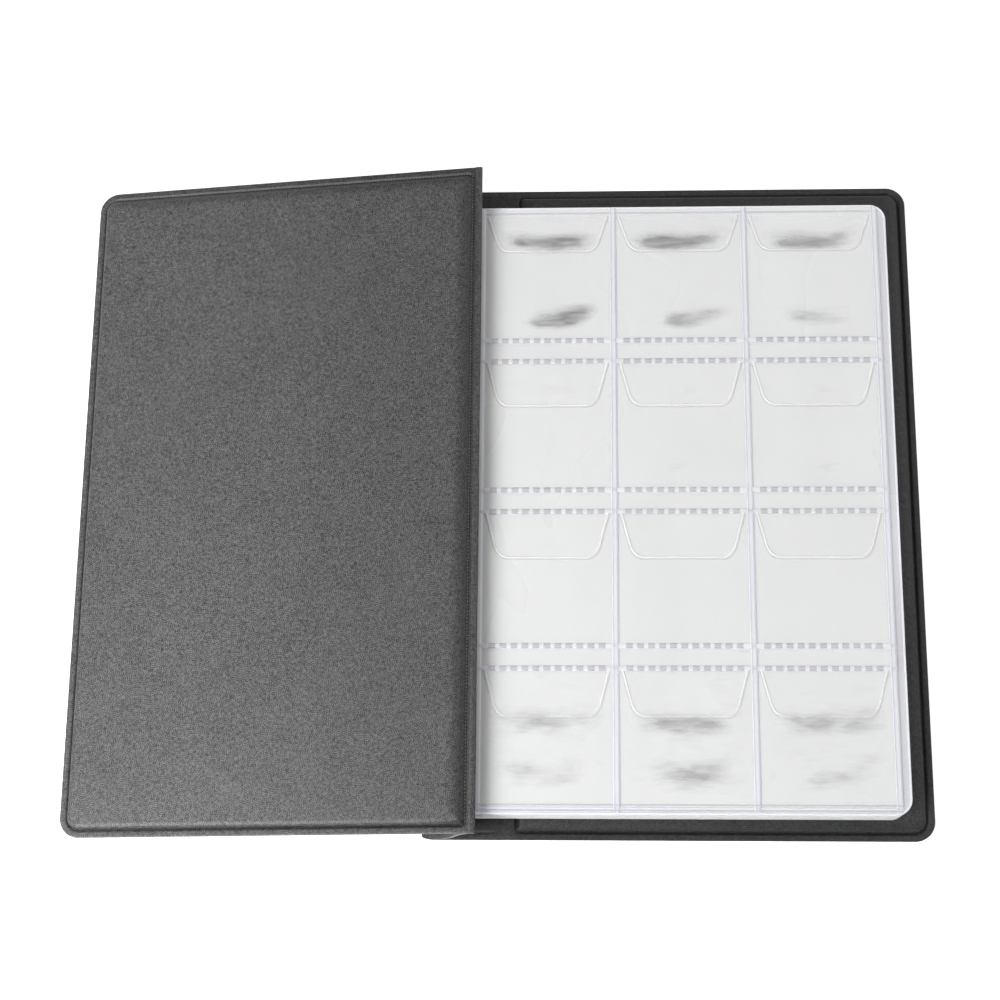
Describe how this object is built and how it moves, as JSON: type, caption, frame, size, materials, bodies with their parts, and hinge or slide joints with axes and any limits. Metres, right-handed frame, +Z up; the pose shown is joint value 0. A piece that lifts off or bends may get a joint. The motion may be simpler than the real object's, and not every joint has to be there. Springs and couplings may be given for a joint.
{
  "type": "coin album",
  "caption": "Pocket album for coins, lying open: sealed board covers on a folding soft spine, and clear leaves whose pockets close with tuck-in flaps.",
  "frame": {"origin": "on the table, under the middle of the open album's bounding box", "axes": "+X from the front cover towards the fore edge of the leaves, +Y towards the top edge of the album, +Z up"},
  "size_m": [0.215, 0.172, 0.0172],
  "materials": {
    "cover_vinyl": "black pebbled vinyl leatherette, satin",
    "lining_vinyl": "black fine-grained vinyl, satin",
    "board": "plain grey-brown millboard",
    "clear_film": "clear soft vinyl film, glossy, slightly wrinkled",
    "flap_film": "clear soft vinyl film, glossy, slightly thicker"
  },
  "bodies": {
    "back_cover": {"back_skin": "cover_vinyl", "back_board": "board", "back_lining": "lining_vinyl", "leaf_binding": "clear_film"},
    "spine": {"spine_skin": "cover_vinyl", "spine_lining": "lining_vinyl"},
    "front_cover": {"front_skin": "cover_vinyl", "front_board": "board", "front_lining": "lining_vinyl"},
    "leaf_01": {"leaf_01_backing": "clear_film", "leaf_01_pockets": "clear_film", "leaf_01_flaps": "flap_film"},
    "leaf_02": {"leaf_02_backing": "clear_film", "leaf_02_pockets": "clear_film", "leaf_02_flaps": "flap_film"},
    "leaf_03": {"leaf_03_backing": "clear_film", "leaf_03_pockets": "clear_film", "leaf_03_flaps": "flap_film"},
    "leaf_04": {"leaf_04_backing": "clear_film", "leaf_04_pockets": "clear_film", "leaf_04_flaps": "flap_film"},
    "leaf_05": {"leaf_05_backing": "clear_film", "leaf_05_pockets": "clear_film", "leaf_05_flaps": "flap_film"},
    "leaf_06": {"leaf_06_backing": "clear_film", "leaf_06_pockets": "clear_film", "leaf_06_flaps": "flap_film"},
    "leaf_07": {"leaf_07_backing": "clear_film", "leaf_07_pockets": "clear_film", "leaf_07_flaps": "flap_film"},
    "leaf_08": {"leaf_08_backing": "clear_film", "leaf_08_pockets": "clear_film", "leaf_08_flaps": "flap_film"},
    "leaf_09": {"leaf_09_backing": "clear_film", "leaf_09_pockets": "clear_film", "leaf_09_flaps": "flap_film"},
    "leaf_10": {"leaf_10_backing": "clear_film", "leaf_10_pockets": "clear_film", "leaf_10_flaps": "flap_film"}
  },
  "joints": [
    {"name": "spine_fold", "type": "hinge", "parent": "back_cover", "child": "spine", "pos_m": [-0.01746, 0, 0.0004], "axis": [0, -1, 0], "range_deg": [-8, 0]},
    {"name": "cover_fold", "type": "hinge", "parent": "spine", "child": "front_cover", "pos_m": [-0.00526, 0, 0.016], "axis": [0, -1, 0], "range_deg": [-180.7, 0]},
    {"name": "leaf_10_turn", "type": "hinge", "parent": "back_cover", "child": "leaf_10", "pos_m": [-0.00526, 0, 0.016], "axis": [0, -1, 0], "range_deg": [0, 12]},
    {"name": "leaf_09_turn", "type": "hinge", "parent": "leaf_10", "child": "leaf_09", "pos_m": [-0.00526, 0, 0.016], "axis": [0, -1, 0], "range_deg": [0, 12]},
    {"name": "leaf_08_turn", "type": "hinge", "parent": "leaf_09", "child": "leaf_08", "pos_m": [-0.00526, 0, 0.016], "axis": [0, -1, 0], "range_deg": [0, 12]},
    {"name": "leaf_07_turn", "type": "hinge", "parent": "leaf_08", "child": "leaf_07", "pos_m": [-0.00526, 0, 0.016], "axis": [0, -1, 0], "range_deg": [0, 12]},
    {"name": "leaf_06_turn", "type": "hinge", "parent": "leaf_07", "child": "leaf_06", "pos_m": [-0.00526, 0, 0.016], "axis": [0, -1, 0], "range_deg": [0, 12]},
    {"name": "leaf_05_turn", "type": "hinge", "parent": "leaf_06", "child": "leaf_05", "pos_m": [-0.00526, 0, 0.016], "axis": [0, -1, 0], "range_deg": [0, 12]},
    {"name": "leaf_04_turn", "type": "hinge", "parent": "leaf_05", "child": "leaf_04", "pos_m": [-0.00526, 0, 0.016], "axis": [0, -1, 0], "range_deg": [0, 12]},
    {"name": "leaf_03_turn", "type": "hinge", "parent": "leaf_04", "child": "leaf_03", "pos_m": [-0.00526, 0, 0.016], "axis": [0, -1, 0], "range_deg": [0, 12]},
    {"name": "leaf_02_turn", "type": "hinge", "parent": "leaf_03", "child": "leaf_02", "pos_m": [-0.00526, 0, 0.016], "axis": [0, -1, 0], "range_deg": [0, 12]},
    {"name": "leaf_01_turn", "type": "hinge", "parent": "leaf_02", "child": "leaf_01", "pos_m": [-0.00526, 0, 0.016], "axis": [0, -1, 0], "range_deg": [0, 57]}
  ]
}
